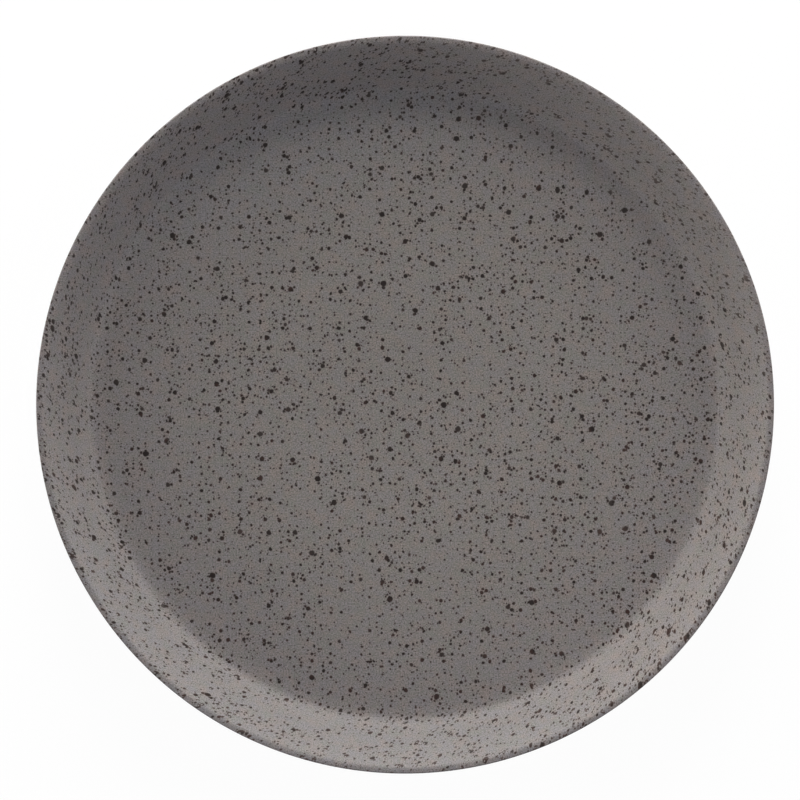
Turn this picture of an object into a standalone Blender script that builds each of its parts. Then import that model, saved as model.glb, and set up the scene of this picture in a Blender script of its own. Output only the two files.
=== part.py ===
"""Coupe salad plate in stoneware: a turned clay body on a bare foot ring, under two areas of fired glaze."""

import math

import bpy
from mathutils import Matrix, Vector

MM = 0.001

# Clay body, from the lip down. The glaze stands out from these faces by GLAZE_SEAT + GLAZE_THICKNESS.
RIM_DIAMETER = 209.3 * MM
INNER_DEPTH = 17.5 * MM  # from the lip's crest down to the floor
LIP_WIDTH = 1.32 * MM  # from the rim's edge in to where the wall's face would meet the crest
LIP_FALL = 0.18 * MM  # how far the crest dips over that width, towards the well
LIP_INNER_RADIUS = 1.6 * MM
LIP_OUTER_RADIUS = 0.05 * MM
WALL_RUN = 12.18 * MM  # how far the wall flares out between the cove and the lip
WALL_THICKNESS = 3.0 * MM
COVE_RADIUS = 3.75 * MM  # where the floor turns up into the wall
FLOOR_EDGE_RUN = 3.25 * MM  # the floor's edge, which lifts a little before the cove
FLOOR_EDGE_LIFT = math.radians(7)
FLOOR_EDGE_RADIUS = 26 * MM  # where that edge leaves the flat floor
BAND_RADIUS = 2.0 * MM  # where the upright band round the rim turns in under the wall
FLOOR_THICKNESS = 4.15 * MM
HEEL_RADIUS = 9.5 * MM  # outside the cove, from the wall round to the underside

# Foot ring
FOOT_HEIGHT = 3.0 * MM
FOOT_INSET = 22.5 * MM  # from the heel in to the middle of the ring
FOOT_WIDTH = 4.0 * MM  # across the land that stands on the table
FOOT_SPREAD = 1.6 * MM  # how far each side of the ring leans out as it rises
FOOT_EDGE_RADIUS = 0.7 * MM
FOOT_FILLET_RADIUS = 1.5 * MM

# Glaze
GLAZE_THICKNESS = 0.3 * MM
GLAZE_SEAT = 0.05 * MM  # clearance between the clay and the coat on it
GLAZE_LINE = 1.6 * MM  # height up the foot ring to which the glaze is wiped off

# Facets
TURN_STEPS = 60
ARC_STEP = math.radians(20)
SAME_POINT = 0.001 * MM

BARE_CLAY = {"colour": (0.42, 0.36, 0.30, 1), "roughness": 0.9}
GREY_GLAZE = {"colour": (0.172, 0.160, 0.151, 1), "roughness": 0.55}


def outward(along):
    """The way the clay faces beside a section line, where the line runs down the plate's outer side."""
    return Vector((-along.y, along.x))


def crossing(point, along, other_point, other_along):
    """Where two section lines meet."""
    return point + along * ((other_point - point).cross(other_along) / along.cross(other_along))


def clay_corners():
    """The corners of the clay's section in radius and height, each with its fillet.

    They run from the axis over the face and the lip, down the outside and round the foot ring to the axis.
    """
    rim = RIM_DIAMETER / 2
    floor = FOOT_HEIGHT + FLOOR_THICKNESS
    crest = floor + INNER_DEPTH
    lip = Vector((rim - LIP_WIDTH, crest - LIP_FALL))
    edge = Vector((math.cos(FLOOR_EDGE_LIFT), math.sin(FLOOR_EDGE_LIFT))) * FLOOR_EDGE_RUN
    cove = Vector((lip.x - WALL_RUN, floor + edge.y))

    # The wall's outside runs parallel to its face, from the upright band down to the heel
    wall = (lip - cove).normalized()
    outside = cove - outward(wall) * WALL_THICKNESS
    band = crossing(outside, wall, Vector((rim, crest)), Vector((0, 1)))
    heel = crossing(outside, wall, Vector((0, FOOT_HEIGHT)), Vector((1, 0)))

    foot = heel.x - FOOT_INSET
    land = FOOT_WIDTH / 2
    root = land + FOOT_SPREAD
    return [
        (Vector((0, floor)), 0),
        (cove - edge, FLOOR_EDGE_RADIUS),
        (cove, COVE_RADIUS),
        (lip, LIP_INNER_RADIUS),
        (Vector((rim, crest)), LIP_OUTER_RADIUS),
        (band, BAND_RADIUS),
        (heel, HEEL_RADIUS),
        (Vector((foot + root, FOOT_HEIGHT)), FOOT_FILLET_RADIUS),
        (Vector((foot + land, 0)), FOOT_EDGE_RADIUS),
        (Vector((foot - land, 0)), FOOT_EDGE_RADIUS),
        (Vector((foot - root, FOOT_HEIGHT)), FOOT_FILLET_RADIUS),
        (Vector((0, FOOT_HEIGHT)), 0),
    ]


def rounded(corners):
    """The section through these corners with an arc at each, as pairs of a point and the way it faces."""
    places = [place for place, _ in corners]
    sides = [after - before for before, after in zip(places, places[1:])]
    lines = [side.normalized() for side in sides]
    turns = [0] + [a.angle_signed(b) for a, b in zip(lines, lines[1:])] + [0]
    reach = [radius * math.tan(abs(turn) / 2) for (_, radius), turn in zip(corners, turns)]
    # A fillet is limited by the sides that it lies on
    room = [side.length / max(side.length, a + b) for side, a, b in zip(sides, reach, reach[1:])]

    section = [(places[0], outward(lines[0]))]
    for i in range(1, len(corners) - 1):
        fits = min(room[i - 1], room[i])
        bulge = math.copysign(corners[i][1] * fits, turns[i])
        faces = outward(lines[i - 1])
        centre = places[i] - lines[i - 1] * reach[i] * fits - faces * bulge
        count = math.ceil(abs(turns[i]) / ARC_STEP)
        for k in range(count + 1):
            facing = Matrix.Rotation(-turns[i] * k / count, 2) @ faces
            point = centre + facing * bulge
            if (point - section[-1][0]).length > SAME_POINT:
                section.append((point, facing))
    section.append((places[-1], outward(lines[-1])))
    return section


def down_to(height, section):
    """The first stretch of a section, which ends where it comes down to a height."""
    for i, ((upper, facing), (lower, _)) in enumerate(zip(section, section[1:])):
        if upper.y > height >= lower.y:
            end = upper.lerp(lower, (upper.y - height) / (upper.y - lower.y))
            return section[: i + 1] + [(end, facing)]
    return section


def raised(section, distance):
    """The points of a section, moved straight out from it."""
    return [point + facing * distance for point, facing in section]


def finish(name, colour, roughness):
    material = bpy.data.materials.new(name)
    material.use_nodes = True
    material.diffuse_color = colour
    shader = material.node_tree.nodes["Principled BSDF"]
    shader.inputs["Base Color"].default_value = colour
    shader.inputs["Roughness"].default_value = roughness
    shader.inputs["Metallic"].default_value = 0
    return material


def turned(name, profile, material, plate):
    """A named piece turned about the upright axis from its profile."""
    mesh = bpy.data.meshes.new(name)
    mesh.from_pydata([(p.x, 0, p.y) for p in profile], [(i, i + 1) for i in range(len(profile) - 1)], [])
    mesh.materials.append(material)
    piece = bpy.data.objects.new(name, mesh)
    screw = piece.modifiers.new("Turn", "SCREW")
    screw.axis = "Z"
    screw.steps = screw.render_steps = TURN_STEPS
    screw.use_merge_vertices = True
    screw.merge_threshold = SAME_POINT
    screw.use_smooth_shade = True
    piece.parent = plate
    plate.users_collection[0].objects.link(piece)
    return piece


def build():
    for leftover in list(bpy.data.objects):
        bpy.data.objects.remove(leftover, do_unlink=True)
    collection = bpy.data.collections.new("Salad Plate")
    bpy.context.scene.collection.children.link(collection)
    plate = bpy.data.objects.new("salad_plate", None)
    collection.objects.link(plate)

    section = rounded(clay_corners())
    face = GLAZE_SEAT + GLAZE_THICKNESS
    over = down_to(GLAZE_LINE, section)
    under = down_to(GLAZE_LINE, section[::-1])

    clay = finish("bare_clay", **BARE_CLAY)
    glaze = finish("grey_glaze", **GREY_GLAZE)
    under_glaze = finish("grey_base_glaze", **GREY_GLAZE)
    turned("clay_body", raised(section, 0), clay, plate)
    turned("glaze_coat", raised(over, face) + raised(over, GLAZE_SEAT)[::-1], glaze, plate)
    turned("base_glaze", raised(under, GLAZE_SEAT) + raised(under, face)[::-1], under_glaze, plate)


build()
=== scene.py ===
"""Looks of a stoneware salad plate: its speckled matt glaze, its bare clay foot and a plain studio."""

import math

import bpy
from mathutils import Matrix, Vector


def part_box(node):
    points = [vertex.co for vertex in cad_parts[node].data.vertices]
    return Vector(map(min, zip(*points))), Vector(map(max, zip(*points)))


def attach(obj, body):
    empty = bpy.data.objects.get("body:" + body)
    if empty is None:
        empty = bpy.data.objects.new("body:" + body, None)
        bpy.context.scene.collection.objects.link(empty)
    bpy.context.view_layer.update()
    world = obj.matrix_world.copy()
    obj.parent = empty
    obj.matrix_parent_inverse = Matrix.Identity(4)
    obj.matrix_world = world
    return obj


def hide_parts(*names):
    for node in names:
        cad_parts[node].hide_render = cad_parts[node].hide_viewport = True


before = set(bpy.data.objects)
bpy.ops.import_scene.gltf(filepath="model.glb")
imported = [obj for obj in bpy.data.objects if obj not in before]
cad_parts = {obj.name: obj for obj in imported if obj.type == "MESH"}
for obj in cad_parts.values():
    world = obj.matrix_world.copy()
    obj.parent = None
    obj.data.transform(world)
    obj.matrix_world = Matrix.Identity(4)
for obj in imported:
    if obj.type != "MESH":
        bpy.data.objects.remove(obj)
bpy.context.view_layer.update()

MM = 0.001

# Clay section: the rim, the crest and the glaze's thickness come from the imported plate
_, clay_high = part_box("clay_body")
coat_low, coat_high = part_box("glaze_coat")
RIM = clay_high.x
CREST = clay_high.z
COAT = coat_high.z - CREST  # how far the face of the glaze stands off the clay
GLAZE_SEAT = 0.05 * MM  # clearance between the clay and the glaze on it
GLAZE_LINE = 1.6 * MM  # height up the foot ring to which the glaze is wiped off
INNER_DEPTH = 17.5 * MM  # from the lip's crest down to the floor
LIP_WIDTH = 1.32 * MM  # from the rim's edge in to where the wall's face would meet the crest
LIP_FALL = 0.18 * MM  # how far the crest dips over that width, towards the well
LIP_INNER_RADIUS = 1.6 * MM
LIP_OUTER_RADIUS = 0.05 * MM
WALL_RUN = 12.18 * MM  # how far the wall flares out between the cove and the lip
WALL_THICKNESS = 3.0 * MM
COVE_RADIUS = 3.75 * MM  # where the floor turns up into the wall
FLOOR_EDGE_RUN = 3.25 * MM  # the floor's edge, which lifts a little before the cove
FLOOR_EDGE_LIFT = math.radians(7)
FLOOR_EDGE_RADIUS = 26 * MM  # where that edge leaves the flat floor
BAND_RADIUS = 2.0 * MM  # where the upright band round the rim turns in under the wall
HEEL_RADIUS = 9.5 * MM  # outside the cove, from the wall round to the underside
FOOT_HEIGHT = 3.0 * MM
FOOT_INSET = 22.5 * MM  # from the heel in to the middle of the ring
FOOT_WIDTH = 4.0 * MM  # across the land that stands on the table
FOOT_SPREAD = 1.6 * MM  # how far each side of the ring leans out as it rises
FOOT_EDGE_RADIUS = 0.7 * MM
FOOT_FILLET_RADIUS = 1.5 * MM

# Fineness of the turned meshes
TURNS = 360
ARC_STEP = math.radians(3)
SAME_POINT = 0.001 * MM
SHARP_EDGE = math.radians(40)

# UV maps: where the glaze lies, in metres from the middle of the plate, and the chart for a painted copy
LAY = "lay"
CHART = "OFBake"
CHART_STRIP = 0.01  # along the chart's foot, for faces that nothing shows
CHART_RADIUS = 0.49
CHART_MIDDLE = Vector((0.5, 0.51))


# Turned section

def outward(along):
    """The way the clay faces beside a section line, where the line runs down the plate's outer side."""
    return Vector((-along.y, along.x))


def crossing(point, along, other_point, other_along):
    """Where two section lines meet."""
    return point + along * ((other_point - point).cross(other_along) / along.cross(other_along))


def clay_corners():
    """The corners of the clay's section in radius and height, each with its fillet.

    They run from the axis over the face and the lip, down the outside and round the foot ring to the axis.
    """
    floor = CREST - INNER_DEPTH
    lip = Vector((RIM - LIP_WIDTH, CREST - LIP_FALL))
    edge = Vector((math.cos(FLOOR_EDGE_LIFT), math.sin(FLOOR_EDGE_LIFT))) * FLOOR_EDGE_RUN
    cove = Vector((lip.x - WALL_RUN, floor + edge.y))

    # The wall's outside runs parallel to its face, from the upright band down to the heel
    wall = (lip - cove).normalized()
    outside = cove - outward(wall) * WALL_THICKNESS
    band = crossing(outside, wall, Vector((RIM, CREST)), Vector((0, 1)))
    heel = crossing(outside, wall, Vector((0, FOOT_HEIGHT)), Vector((1, 0)))

    foot = heel.x - FOOT_INSET
    land = FOOT_WIDTH / 2
    root = land + FOOT_SPREAD
    return [
        (Vector((0, floor)), 0),
        (cove - edge, FLOOR_EDGE_RADIUS),
        (cove, COVE_RADIUS),
        (lip, LIP_INNER_RADIUS),
        (Vector((RIM, CREST)), LIP_OUTER_RADIUS),
        (band, BAND_RADIUS),
        (heel, HEEL_RADIUS),
        (Vector((foot + root, FOOT_HEIGHT)), FOOT_FILLET_RADIUS),
        (Vector((foot + land, 0)), FOOT_EDGE_RADIUS),
        (Vector((foot - land, 0)), FOOT_EDGE_RADIUS),
        (Vector((foot - root, FOOT_HEIGHT)), FOOT_FILLET_RADIUS),
        (Vector((0, FOOT_HEIGHT)), 0),
    ]


def rounded(corners):
    """The section through these corners with an arc at each, as pairs of a point and the way it faces."""
    places = [place for place, _ in corners]
    lines = [(after - before).normalized() for before, after in zip(places, places[1:])]
    section = [(places[0], outward(lines[0]))]
    for (place, radius), before, after in zip(corners[1:-1], lines, lines[1:]):
        turn = before.angle_signed(after)
        bulge = math.copysign(radius, turn)
        faces = outward(before)
        centre = place - before * radius * math.tan(abs(turn) / 2) - faces * bulge
        count = math.ceil(abs(turn) / ARC_STEP)
        for k in range(count + 1):
            facing = Matrix.Rotation(-turn * k / count, 2) @ faces
            section.append((centre + facing * bulge, facing))
    section.append((places[-1], outward(lines[-1])))
    return section


def down_to(height, section):
    """The first stretch of a section, which ends where it comes down to a height."""
    for i, ((upper, facing), (lower, _)) in enumerate(zip(section, section[1:])):
        if upper.y > height >= lower.y:
            end = upper.lerp(lower, (upper.y - height) / (upper.y - lower.y))
            return section[: i + 1] + [(end, facing)]
    return section


def raised(section, distance):
    """The points of a section, moved straight out from it."""
    return [point + facing * distance for point, facing in section]


def run_lengths(points):
    """How far along a line of points each of them is."""
    lengths = [0.0]
    for before, after in zip(points, points[1:]):
        lengths.append(lengths[-1] + (after - before).length)
    return lengths


# Turned meshes

def turned(name, profile, shown, lays, material, replaced):
    """A closed piece turned about the plate's axis from the points of its profile.

    shown numbers the points that a band of seen surface starts from, and lays gives each point's distance
    from the middle of the plate along the glaze.
    """
    vertices = []
    rings = []
    for point in profile:
        first = len(vertices)
        if point.x < SAME_POINT:
            vertices.append((0, 0, point.y))
            rings.append([first] * (TURNS + 1))
            continue
        for k in range(TURNS):
            angle = math.tau * k / TURNS
            vertices.append((point.x * math.cos(angle), point.x * math.sin(angle), point.y))
        rings.append([first + k % TURNS for k in range(TURNS + 1)])

    faces = []
    lay_places = []
    chart_places = []
    widest = max(max(lays[a:a + 2]) for a in shown)
    bands = len(profile) if profile[0].x > SAME_POINT else len(profile) - 1
    for a in range(bands):
        b = (a + 1) % len(profile)
        for k in range(TURNS):
            corners = [(a, k), (b, k), (b, k + 1), (a, k + 1)]
            if rings[a][0] == rings[a][1]:
                corners = corners[:3]
            elif rings[b][0] == rings[b][1]:
                corners = [corners[0], corners[1], corners[3]]
            faces.append([rings[i][j] for i, j in corners])
            for i, j in corners:
                angle = math.tau * j / TURNS
                way = Vector((math.cos(angle), math.sin(angle)))
                lay_places.append(way * lays[i])
                if a in shown:
                    chart_places.append(CHART_MIDDLE + way * CHART_RADIUS * lays[i] / widest)
                else:
                    row = a if i == a else a + 1
                    chart_places.append(Vector((j / TURNS, row / len(profile) * CHART_STRIP)))

    mesh = bpy.data.meshes.new(name)
    mesh.from_pydata(vertices, [], faces)
    for layer, places in ((LAY, lay_places), (CHART, chart_places)):
        uvs = mesh.uv_layers.new(name=layer)
        uvs.uv.foreach_set("vector", [x for place in places for x in place])
    mesh.shade_smooth()
    mesh.set_sharp_from_angle(angle=SHARP_EDGE)
    mesh.materials.append(material)
    piece = bpy.data.objects.new(name, mesh)
    bpy.context.scene.collection.objects.link(piece)
    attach(piece, "root")
    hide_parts(replaced)
    return piece


# Shader nodes

class Shade:
    """A socket in a material's nodes. Sums on it add Math nodes, and node() adds any other kind."""

    def __init__(self, tree, socket=None):
        self.tree = tree
        self.socket = socket

    def node(self, kind, settings, values, output=0):
        """Adds a node: its settings first, then the values or links of its sockets."""
        made = self.tree.nodes.new(kind)
        for name, setting in settings.items():
            setattr(made, name, setting)
        for name, value in values.items():
            if isinstance(value, Shade):
                self.tree.links.new(value.socket, made.inputs[name])
            else:
                made.inputs[name].default_value = value
        return Shade(self.tree, made.outputs[output])

    def also(self, output):
        """Another output of the node that this one comes from."""
        return Shade(self.tree, self.socket.node.outputs[output])

    def math(self, operation, *values, clamp=False):
        sockets = dict(enumerate(values))
        return self.node("ShaderNodeMath", {"operation": operation, "use_clamp": clamp}, sockets)

    def __add__(self, other):
        return self.math("ADD", self, other)

    def __sub__(self, other):
        return self.math("SUBTRACT", self, other)

    def __rsub__(self, other):
        return self.math("SUBTRACT", other, self)

    def __mul__(self, other):
        return self.math("MULTIPLY", self, other)

    def __truediv__(self, other):
        return self.math("DIVIDE", self, other)

    __radd__ = __add__
    __rmul__ = __mul__

    def above(self, least):
        """This, or the least value wherever this is lower."""
        return self.math("MAXIMUM", self, least)

    def under(self, most):
        """1 where this is below the limit and 0 elsewhere."""
        return self.math("LESS_THAN", self, most)

    def clamped(self):
        """This, kept from 0 to 1."""
        return self.math("ADD", self, 0, clamp=True)

    def between(self, low, high):
        """The low value where this is 0, the high one where it is 1."""
        return self * (high - low) + low

    def eased(self, start, end):
        """0 at start, 1 at end, with a smooth rise between them."""
        settings = {"interpolation_type": "SMOOTHSTEP"}
        return self.node("ShaderNodeMapRange", settings, {"Value": self, "From Min": start, "From Max": end})

    def blend(self, colour, over, share):
        """A colour with a share of another over it."""
        return self.node("ShaderNodeMix", {"data_type": "RGBA"}, {"Factor": share, 6: colour, 7: over}, 2)

    def vector(self, operation, values, output=0):
        """Vector Math on this, with the values or links of its other sockets."""
        return self.node("ShaderNodeVectorMath", {"operation": operation}, {0: self, **values}, output)

    def length(self):
        return self.vector("LENGTH", {}, "Value")

    def along(self, way):
        """How far this place is towards one side."""
        return self.vector("DOT_PRODUCT", {1: way}, "Value")

    def noise(self, size, detail=2.0, seed=0.0, output=0):
        """Soft noise with features of about this size, in metres."""
        place = self.vector("ADD", {1: (0, 0, seed)})
        values = {"Vector": place, "Scale": 1 / size, "Detail": detail}
        return self.node("ShaderNodeTexNoise", {"noise_dimensions": "3D"}, values, output)

    def patches(self, size, start, end, detail=2.0, seed=0.0):
        """Soft patches of about this size: 0 where their noise is below start, 1 where it is over end."""
        return self.noise(size, detail, seed).eased(start, end)


MATT_GLOSS = 0.15  # specular level of the glaze and the clay


def new_finish(name):
    """An empty material with its surface, and a Shade to start its nodes from."""
    material = bpy.data.materials.new(name)
    material.use_nodes = True
    tree = material.node_tree
    tree.nodes.clear()
    surface = tree.nodes.new("ShaderNodeBsdfPrincipled")
    surface.inputs["Specular IOR Level"].default_value = MATT_GLOSS
    output = tree.nodes.new("ShaderNodeOutputMaterial")
    tree.links.new(surface.outputs[0], output.inputs["Surface"])
    return material, surface, Shade(tree)


def feed(surface, socket, shade):
    shade.tree.links.new(shade.socket, surface.inputs[socket])


def feed_relief(surface, height):
    """Gives a surface relief of this height, in metres."""
    bump = height.node("ShaderNodeBump", {}, {"Height": height, "Strength": 1.0, "Distance": 1.0})
    feed(surface, "Normal", bump)


# Iron speckle

# Spots by size: cell of the net they lie in, share of cells with a spot, least and greatest radius
LARGE_SPECKLE = (7.0 * MM, 0.54, 0.54 * MM, 0.86 * MM)
SMALLER_SPECKLES = (
    (2.9 * MM, 0.54, 0.35 * MM, 0.58 * MM),
    (1.95 * MM, 0.54, 0.226 * MM, 0.38 * MM),
    (1.8 * MM, 0.50, 0.149 * MM, 0.241 * MM),
    (1.3 * MM, 0.48, 0.072 * MM, 0.154 * MM),
)
# Pale pin specks on the wall, painted as glints
PALE_PIN = (6.0 * MM, 0.3, 0.06 * MM, 0.14 * MM)
PIN_SEED = 11
NET_SHIFT = Vector((0.37, 0.61, 0))  # from one size's net to the next
SPECKLE_EDGE = 0.30 * MM  # width over which a spot fades out
SPECKLE_WOBBLE = 0.30 * MM  # how far its outline strays from a circle
WOBBLE_SIZE = 0.9 * MM
FAINTEST = 0.77  # strength of the palest spots
DOME_RISE = 0.13  # height of a spot over its radius

# Crowding of the spots, on the floor and on the wall
CLUMP_CROWDING = (1.55, 1.70)
GAP_CROWDING = (0.45, 0.10)  # between the clumps
SMALLER_CROWDING = (0.85, 0.80)

# What changes it from place to place: patches by size, and where their noise starts and is full
CLUMPS = (8 * MM, 0.25, 0.75)
DRIFT = (45 * MM, 0.2, 0.8)
DRIFT_CROWDING = (0.75, 1.25)
SPLATTER_CROWDING = 1.1  # smaller spots crowd round a large one
SPLATTER_REACH = (2.6 * MM, 0.9 * MM)  # from its middle to where they start and are most
EDGE_CROWDING = 0.5  # more spots show where the glaze is thin over the lip

# Spots on the wall, where the glaze ran
WALL_EASE = 4 * MM  # over which the wall's look sets in
WALL_TWIST = 0.45  # how far the spots lean round the plate
WALL_SWELL = 0.185  # how much wider they are
WALL_LARGE = 0.7  # share of the large ones that are there
WALL_STRENGTH = 0.92

# Painted highlights: pale glints painted beside the middle of some spots on the wall, with lengths over the
# spot's radius
GLINT_SHARE = 0.4
GLINT_RADIUS = 0.42
GLINT_LEAN = (0.3, 1.5)
GLINT_EDGE = 0.16 * MM
GLINT_IRON_LOSS = 0.9  # how much of the iron is gone there
GLINT_SIZES = 2  # so many of the largest sizes of spot have them


def speckle_layer(place, seed, sizes, on_wall, crowding):
    """Spots of one size in some of the cells of an uneven net.

    Gives 1 inside a spot, how high its dome stands, how far off its middle is, and 1 in a painted glint.
    """
    cell, share, least, most = sizes
    settings = {"voronoi_dimensions": "2D", "feature": "F1"}
    shifted = place.vector("ADD", {1: NET_SHIFT * seed})
    net = place.node("ShaderNodeTexVoronoi", settings, {"Vector": shifted, "Scale": 1 / cell})
    chance = place.node("ShaderNodeSeparateColor", {}, {"Color": net.also("Color")})
    size = chance.also("Green")
    broken = chance.also("Blue")
    present = chance.under(crowding * share)

    radius = (size * size).between(least, most) * (1 + on_wall * WALL_SWELL)
    away = net * cell
    inside = ((radius - away) / SPECKLE_EDGE + 0.5).clamped() * broken.between(FAINTEST, 1) * present
    from_middle = away / radius
    dome = (1 - from_middle * from_middle).above(0) * radius * DOME_RISE * present

    # A painted glint lies off the spot's middle, towards the rim
    lean = place.vector("NORMALIZE", {}).vector("SCALE", {"Scale": radius * broken.between(*GLINT_LEAN)})
    from_glint = shifted.vector("SUBTRACT", {1: net.also("Position")})
    from_glint = from_glint.vector("SUBTRACT", {1: lean}).length()
    painted_glint = ((radius * GLINT_RADIUS - from_glint) / GLINT_EDGE + 0.5).clamped() * broken.under(GLINT_SHARE)
    return inside, dome, away + (1 - present), painted_glint * present


def iron_speckle(lay, up_wall, on_wall, at_edge):
    """Spots of every size: 1 inside them, how high they stand, 1 in painted glints in them, and 1 in painted
    pin glints on the wall.
    """
    turn = {"Vector": lay, "Angle": up_wall * (WALL_TWIST / RIM)}
    place = lay.node("ShaderNodeVectorRotate", {"rotation_type": "Z_AXIS"}, turn)
    stray = place.noise(WOBBLE_SIZE, output="Color").vector("SUBTRACT", {1: (0.5, 0.5, 0.5)})
    place = stray.vector("MULTIPLY_ADD", {1: (2 * SPECKLE_WOBBLE,) * 3, 2: place})

    in_gaps = on_wall.between(*GAP_CROWDING)
    in_clumps = on_wall.between(*CLUMP_CROWDING)
    crowding = lay.patches(*CLUMPS).between(in_gaps, in_clumps)
    crowding = crowding * lay.patches(*DRIFT).between(*DRIFT_CROWDING) * (1 + at_edge * EDGE_CROWDING)
    few = crowding * on_wall.between(1, WALL_LARGE)
    spots, domes, from_large, painted_glints = speckle_layer(place, 0, LARGE_SPECKLE, on_wall, few)

    splatter = from_large.eased(*SPLATTER_REACH) * SPLATTER_CROWDING
    crowding = crowding * (on_wall.between(*SMALLER_CROWDING) + splatter)
    for seed, sizes in enumerate(SMALLER_SPECKLES, 1):
        layer, rise, _, painted_glint = speckle_layer(place, seed, sizes, on_wall, crowding)
        spots = spots.above(layer)
        domes = domes.above(rise)
        if seed < GLINT_SIZES:
            painted_glints = painted_glints.above(painted_glint)
    painted_glints = painted_glints * on_wall
    pin_glints, *_ = speckle_layer(place, PIN_SEED, PALE_PIN, 0, 1)
    # The painted glints take most of the iron out of the spots they lie in
    return spots * (1 - painted_glints * GLINT_IRON_LOSS), domes, painted_glints, pin_glints * on_wall


# Grey glaze

GLAZE_COOL = (0.161, 0.1545, 0.1403, 1)
GLAZE_WARM = (0.186, 0.1585, 0.1443, 1)
GLAZE_BLUE = (0.1685, 0.156, 0.1535, 1)
# Colour of the painted highlights: glints in the wall's spots and pin specks
PAINTED_GLINT_COLOUR = (0.30, 0.285, 0.27, 1)
IRON_BLACK = (0.0084, 0.0053, 0.0044, 1)
IRON_RUST = (0.0265, 0.0128, 0.0100, 1)
IRON_BLEED = (0.105, 0.083, 0.076, 1)

# Patches by size, where their noise starts and is full, its detail and its seed
WARM_PATCHES = (5 * MM, 0.3, 0.7, 3)
BLUE_PATCHES = (3.5 * MM, 0.35, 0.7, 3, 4)
GHOSTS = (7 * MM, 0.64, 0.78, 2, 9)  # spots that the glaze covers

# Tints where the glaze lies thick round the floor, most of all on one side, a painted cooler tint of the
# light on one side of the wall, and over the lip
POOL_TINT = (1.0, 0.997, 1.027)
POOL_REACH = (0.5 * RIM, 0.8 * RIM)
POOL_ON_WALL = 0.8
POOL_SIDE = Vector((-0.34, 0.94, 0))
POOL_SIDE_TINT = (0.970, 1.0, 1.018)
# Painted light: a cooler tint of the light on the wall towards this side
LIGHT_TINT_SIDE = Vector((-0.35, -0.94, 0))
LIGHT_TINT_REACH = (0.45 * RIM, 0.75 * RIM)
PAINTED_LIGHT_TINT = (0.978, 1.0, 1.012)
EDGE_TINT = (0.868, 0.860, 0.876)
EDGE_INSIDE = (2.0 * MM, 0.8 * MM)  # from the lip's crest to where its edge starts and is full
EDGE_OUTSIDE = (4.0 * MM, 1.0 * MM)

# Paleness: more where the glaze is thin over the cove and on the wall; painted light on one side of the
# floor's middle and painted shade on the other, and painted shade over the middle
THIN_BELOW = (-3.5 * MM, 1.5 * MM)  # from the foot of the wall to where it starts and is full
THIN_ABOVE = (10 * MM, 2 * MM)
THIN_PALE = 0.09
WALL_PALE = 0.03
# Painted light towards this side of the floor's middle, and painted shade away from it
PAINTED_LIGHT_SIDE = Vector((0.1, -1, 0))
PAINTED_LIGHT_SPAN = (-0.25 * RIM, 0.25 * RIM)
PAINTED_LIGHT_REACH = (0.5 * RIM, 0.25 * RIM)
PAINTED_LIGHT_SHARE = 0.08
GHOST_DULL = 0.07
# Painted shade over the floor's middle
PAINTED_SHADE_REACH = (0.45 * RIM, 0)
PAINTED_SHADE_MIDDLE = 0.05

# Grain, and the iron as it shows in the glaze
GRAIN_SIZE = 0.4 * MM
GRAIN_LEVELS = (0.025, 1.975)
GRAIN_RISE = 0.01 * MM
THICK_SIDE = Vector((0.64, 0.77, 0))  # the glaze is thickest here on the wall, and hides more of the iron
THICK_REACH = (0.7 * RIM, 0.95 * RIM)
THICK_COVER = 0.3
RUST_SIZE = 2.5 * MM
RUST_RANGE = (0.45, 0.7)
RUST_SIDE = Vector((0.2, -0.98, 0))  # the iron is browner towards this side
RUST_DRIFT = 0.10
BLEED_RANGE = (0, 0.6)
BLEED_SHARE = 0.85
IRON_RANGE = (0.25, 0.95)
# How strongly the painted glints lighten the glaze
GLINT_PALENESS = 0.2
PIN_GLINT = 0.6
GLAZE_ROUGHNESS = (0.62, 0.72)
SPOT_SMOOTHNESS = 0.34


def grey_glaze(shade, lay, reach, wall_from, on_wall, at_edge):
    """The colour of the glaze between its speckles."""
    up_cove = reach - wall_from
    thin = up_cove.eased(*THIN_BELOW) * up_cove.eased(*THIN_ABOVE)
    # Painted light on one side of the floor's middle and painted shade on the other
    side = (lay.along(PAINTED_LIGHT_SIDE).eased(*PAINTED_LIGHT_SPAN) - 0.5) * reach.eased(*PAINTED_LIGHT_REACH)
    paleness = 1 + thin * THIN_PALE + on_wall * WALL_PALE + side * PAINTED_LIGHT_SHARE
    # Less paleness in the covered spots, and painted shade over the floor's middle
    paleness = paleness - lay.patches(*GHOSTS) * GHOST_DULL - reach.eased(*PAINTED_SHADE_REACH) * PAINTED_SHADE_MIDDLE

    grey = shade.blend(GLAZE_COOL, GLAZE_WARM, lay.patches(*WARM_PATCHES))
    grey = shade.blend(grey, GLAZE_BLUE, lay.patches(*BLUE_PATCHES))
    tints = (
        (POOL_TINT, reach.eased(*POOL_REACH) * on_wall.between(1, POOL_ON_WALL)),
        (POOL_SIDE_TINT, lay.along(POOL_SIDE).eased(*POOL_REACH) * (1 - on_wall)),
        # painted cooler tint of the light on the wall towards one side
        (PAINTED_LIGHT_TINT, lay.along(LIGHT_TINT_SIDE).eased(*LIGHT_TINT_REACH) * on_wall),
        (EDGE_TINT, at_edge),
    )
    for tint, share in tints:
        grey = shade.blend(grey, grey.vector("MULTIPLY", {1: tint}), share)
    return grey.vector("SCALE", {"Scale": paleness})


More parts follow.
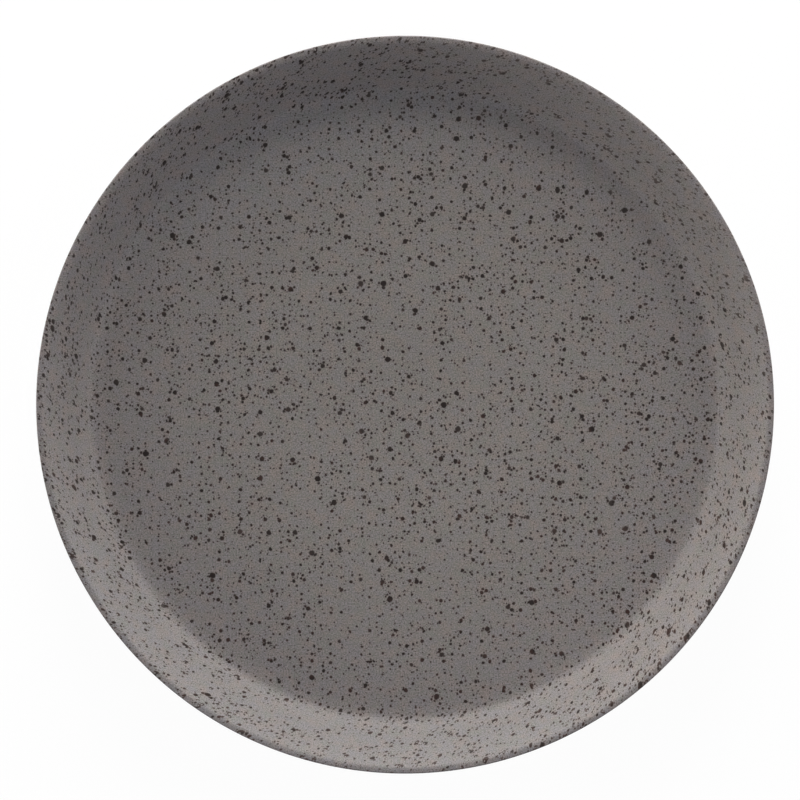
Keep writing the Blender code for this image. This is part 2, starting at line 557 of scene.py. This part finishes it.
def speckled_glaze(name, wall_from, crest_at):
    """Matt grey glaze with iron speckle.

    The wall, where the glaze ran, starts this far from the plate's middle, and the lip's crest is this far.
    """
    material, surface, shade = new_finish(name)
    lay = shade.node("ShaderNodeUVMap", {"uv_map": LAY}, {})
    reach = lay.length()
    up_wall = (reach - wall_from).above(0)
    on_wall = up_wall.eased(0, WALL_EASE)
    at_edge = (crest_at - reach).eased(*EDGE_INSIDE) * (reach - crest_at).eased(*EDGE_OUTSIDE)
    spots, domes, painted_glints, pin_glints = iron_speckle(lay, up_wall, on_wall, at_edge)

    grain = lay.noise(GRAIN_SIZE)
    grey = grey_glaze(shade, lay, reach, wall_from, on_wall, at_edge)
    grey = grey.vector("SCALE", {"Scale": grain.between(*GRAIN_LEVELS)})
    rust = lay.noise(RUST_SIZE) + lay.along(RUST_SIDE) * (RUST_DRIFT / RIM)
    iron = shade.blend(IRON_BLACK, IRON_RUST, rust.eased(*RUST_RANGE))
    seen = spots * (1 - lay.along(THICK_SIDE).eased(*THICK_REACH) * THICK_COVER)
    colour = shade.blend(grey, IRON_BLEED, seen.eased(*BLEED_RANGE) * BLEED_SHARE)
    colour = shade.blend(colour, iron, seen.eased(*IRON_RANGE) * on_wall.between(1, WALL_STRENGTH))
    # Painted highlights: glints in the wall's spots and its pale pin specks
    colour = shade.blend(colour, PAINTED_GLINT_COLOUR, painted_glints * GLINT_PALENESS + pin_glints * PIN_GLINT)
    feed(surface, "Base Color", colour)
    feed(surface, "Roughness", grain.between(*GLAZE_ROUGHNESS) - spots * SPOT_SMOOTHNESS)
    feed_relief(surface, grain * GRAIN_RISE + domes)
    return material


# Bare clay

CLAY_PALE = (0.46, 0.40, 0.335, 1)
CLAY_DARK = (0.36, 0.30, 0.245, 1)
CLAY_IRON = (0.10, 0.070, 0.052, 1)
CLAY_PATCHES = (7 * MM, 0.3, 0.7)
CLAY_SPECK = (1.6 * MM, 0.35, 0.05 * MM, 0.22 * MM)
CLAY_SPECK_SEED = 7
CLAY_SPECK_SHARE = 0.8
CLAY_GRAIN_DETAIL = 3
TURNING_LINE = 0.5 * MM
PATCH_SHARE = 0.4  # of the clay's paleness
GRAIN_SHARE = 0.4
LINE_SHARE = 0.2
CLAY_RELIEF = 0.03 * MM
CLAY_ROUGHNESS = (0.85, 0.95)


def bare_clay(name):
    """Dry fired stoneware, turned and then sanded where the plate stands."""
    material, surface, shade = new_finish(name)
    place = shade.node("ShaderNodeTexCoord", {}, {}, "Object")
    level = place.vector("MULTIPLY", {1: (1, 1, 0)})
    ripple = {"W": level.length(), "Scale": 1 / TURNING_LINE}
    lines = shade.node("ShaderNodeTexNoise", {"noise_dimensions": "1D"}, ripple)
    grain = place.noise(GRAIN_SIZE, CLAY_GRAIN_DETAIL)
    patch = place.patches(*CLAY_PATCHES)
    paleness = patch * PATCH_SHARE + grain * GRAIN_SHARE + lines * LINE_SHARE
    specks, *_ = speckle_layer(level, CLAY_SPECK_SEED, CLAY_SPECK, 0, 1)
    colour = shade.blend(CLAY_DARK, CLAY_PALE, paleness)
    colour = shade.blend(colour, CLAY_IRON, specks * CLAY_SPECK_SHARE)
    feed(surface, "Base Color", colour)
    feed(surface, "Roughness", grain.between(*CLAY_ROUGHNESS))
    feed_relief(surface, (grain + lines) * CLAY_RELIEF)
    return material


# Plate

def make_plate():
    section = rounded(clay_corners())
    over = down_to(GLAZE_LINE, section)
    under = down_to(GLAZE_LINE, section[::-1])
    shown = raised(over, COAT)
    seat = raised(over, GLAZE_SEAT)
    lengths = run_lengths(shown)

    # The wall starts where the face is steeper than the floor's edge
    cove = next(i for i, (_, faces) in enumerate(over) if faces.y < math.cos(FLOOR_EDGE_LIFT * 1.01))
    crest = max(range(len(shown)), key=lambda i: (round(shown[i].y / SAME_POINT), -shown[i].x))
    zones = (lengths[cove], lengths[crest])
    inside = speckled_glaze("speckled_glaze_inside", *zones)
    outside = speckled_glaze("speckled_glaze_outside", *zones)
    base = speckled_glaze("speckled_glaze_base", *zones)
    clay = bare_clay("bare_clay")

    # The inside and the outside of the coat meet half way down the upright band
    edge = max(range(len(shown)), key=lambda i: (round(shown[i].x / SAME_POINT), shown[i].y))
    seam = edge + 1
    seam_lay = lengths[edge] + (shown[seam] - shown[edge]).length / 2
    seam_face = shown[edge].lerp(shown[seam], 0.5)
    seam_seat = seat[edge].lerp(seat[seam], 0.5)

    profile = shown[:seam] + [seam_face, seam_seat] + seat[edge::-1]
    lays = lengths[:seam] + [seam_lay] * (seam + 2)
    turned("inside_glaze", profile, range(seam), lays, inside, "glaze_coat")

    profile = [seam_face] + shown[seam:] + seat[:edge:-1] + [seam_seat]
    lays = [seam_lay] + lengths[seam:]
    outer_bands = range(len(lays) - 1)
    lays = lays + [lays[-1]] * len(lays)
    turned("outside_glaze", profile, outer_bands, lays, outside, "glaze_coat")

    base_shown = raised(under, COAT)
    profile = raised(under, GLAZE_SEAT) + base_shown[::-1]
    lays = run_lengths(base_shown)
    base_bands = range(len(lays), len(profile) - 1)
    lays = [lays[-1]] * len(lays) + lays[::-1]
    turned("base_glaze_disc", profile, base_bands, lays, base, "base_glaze")

    profile = raised(section, 0)
    lays = run_lengths(profile)
    turned("fired_clay", profile, range(len(profile) - 1), lays, clay, "clay_body")


make_plate()


# Studio

CAMERA_HEIGHT = 1.5
SENSOR = 36.0
FRAME_SHARE = 0.92274  # the plate's diameter as a share of the picture's side
PLATE_RIGHT = 0.00636  # how far the plate's middle sits right of the picture's, as a share of its side
PLATE_DOWN = 0.00582
WHITE = (1, 1, 1, 1)
FLOOR_PAPER = (0.9, 0.9, 0.9, 1)
FLOOR_WHITENESS = 0.96  # share of plain white that the camera sees, which leaves the plate's shadow
FLOOR_SIDE = 6.0
FLOOR_GAP = 0.05 * MM
ROOM_LIGHT = 0.2
ROOM_COLOUR = (0.873, 0.937, 1.191, 1)
SOFTBOX_SIDE = 0.5
SOFTBOX_DISTANCE = 1.2
PLAIN = (1, 1, 1)
WARM = (1.038, 1.019, 0.943)

# Each softbox by azimuth, elevation, watts and colour: most of the light comes in low from behind the plate
SOFTBOXES = (
    (0, 6, 6.3, PLAIN),
    (90, 6, 20.4, PLAIN),
    (120, 6, 3.8, PLAIN),
    (180, 6, 11.1, WARM),
    (210, 18, 3.1, WARM),
    (30, 30, 2.2, WARM),
    (90, 30, 5.5, WARM),
    (90, 42, 3.8, WARM),
    (330, 56, 2.0, PLAIN),
)


def make_camera():
    """A camera straight over the plate, framed as the photo is."""
    picture = (coat_high.x - coat_low.x) / FRAME_SHARE
    data = bpy.data.cameras.new("top_view")
    data.sensor_width = SENSOR
    data.lens = SENSOR * (CAMERA_HEIGHT - coat_high.z) / picture
    camera = bpy.data.objects.new("top_view", data)
    camera.location = (-PLATE_RIGHT * picture, PLATE_DOWN * picture, CAMERA_HEIGHT)
    bpy.context.scene.collection.objects.link(camera)
    bpy.context.scene.camera = camera


def seen_directly(shade):
    """1 for what the camera, a mirror or a clear surface sees, and 0 for light that falls on the plate."""
    path = shade.node("ShaderNodeLightPath", {}, {}, "Is Camera Ray")
    return path.above(path.also("Is Glossy Ray")).above(path.also("Is Transmission Ray"))


def make_floor():
    side = FLOOR_SIDE / 2
    mesh = bpy.data.meshes.new("floor")
    corners = [(x, y, -FLOOR_GAP) for x, y in ((-side, -side), (side, -side), (side, side), (-side, side))]
    mesh.from_pydata(corners, [], [(0, 1, 2, 3)])
    material = bpy.data.materials.new("pale_floor")
    material.use_nodes = True
    tree = material.node_tree
    tree.nodes.clear()
    shade = Shade(tree)
    paper = shade.node("ShaderNodeBsdfDiffuse", {}, {"Color": FLOOR_PAPER})
    white = shade.node("ShaderNodeEmission", {}, {"Color": WHITE, "Strength": 1.0})
    share = seen_directly(shade) * FLOOR_WHITENESS
    mixed = shade.node("ShaderNodeMixShader", {}, {0: share, 1: paper, 2: white})
    output = tree.nodes.new("ShaderNodeOutputMaterial")
    tree.links.new(mixed.socket, output.inputs["Surface"])
    mesh.materials.append(material)
    floor = bpy.data.objects.new("floor", mesh)
    bpy.context.scene.collection.objects.link(floor)


def make_world():
    """A dim, cool room, which the camera sees as white."""
    world = bpy.data.worlds.new("studio")
    bpy.context.scene.world = world
    world.use_nodes = True
    tree = world.node_tree
    tree.nodes.clear()
    shade = Shade(tree)
    seen = seen_directly(shade)
    room = shade.node("ShaderNodeBackground", {}, {"Color": ROOM_COLOUR, "Strength": ROOM_LIGHT})
    white = shade.node("ShaderNodeBackground", {}, {"Color": WHITE, "Strength": 1.0})
    mixed = shade.node("ShaderNodeMixShader", {}, {0: seen, 1: room, 2: white})
    output = tree.nodes.new("ShaderNodeOutputWorld")
    tree.links.new(mixed.socket, output.inputs["Surface"])


def softbox(azimuth, elevation, watts, colour):
    """A square lamp that faces the plate. Azimuth is counted in degrees from +X towards +Y."""
    data = bpy.data.lights.new("softbox", "AREA")
    data.shape = "SQUARE"
    data.size = SOFTBOX_SIDE
    data.energy = watts
    data.color = colour
    lamp = bpy.data.objects.new("softbox", data)
    level = math.cos(math.radians(elevation))
    way = Vector((
        math.cos(math.radians(azimuth)) * level,
        math.sin(math.radians(azimuth)) * level,
        math.sin(math.radians(elevation)),
    ))
    lamp.location = way * SOFTBOX_DISTANCE
    lamp.rotation_euler = way.to_track_quat("Z", "Y").to_euler()
    lamp.visible_camera = False
    bpy.context.scene.collection.objects.link(lamp)


make_camera()
make_floor()
make_world()
for lamp in SOFTBOXES:
    softbox(*lamp)

bpy.context.scene.view_settings.view_transform = "Standard"
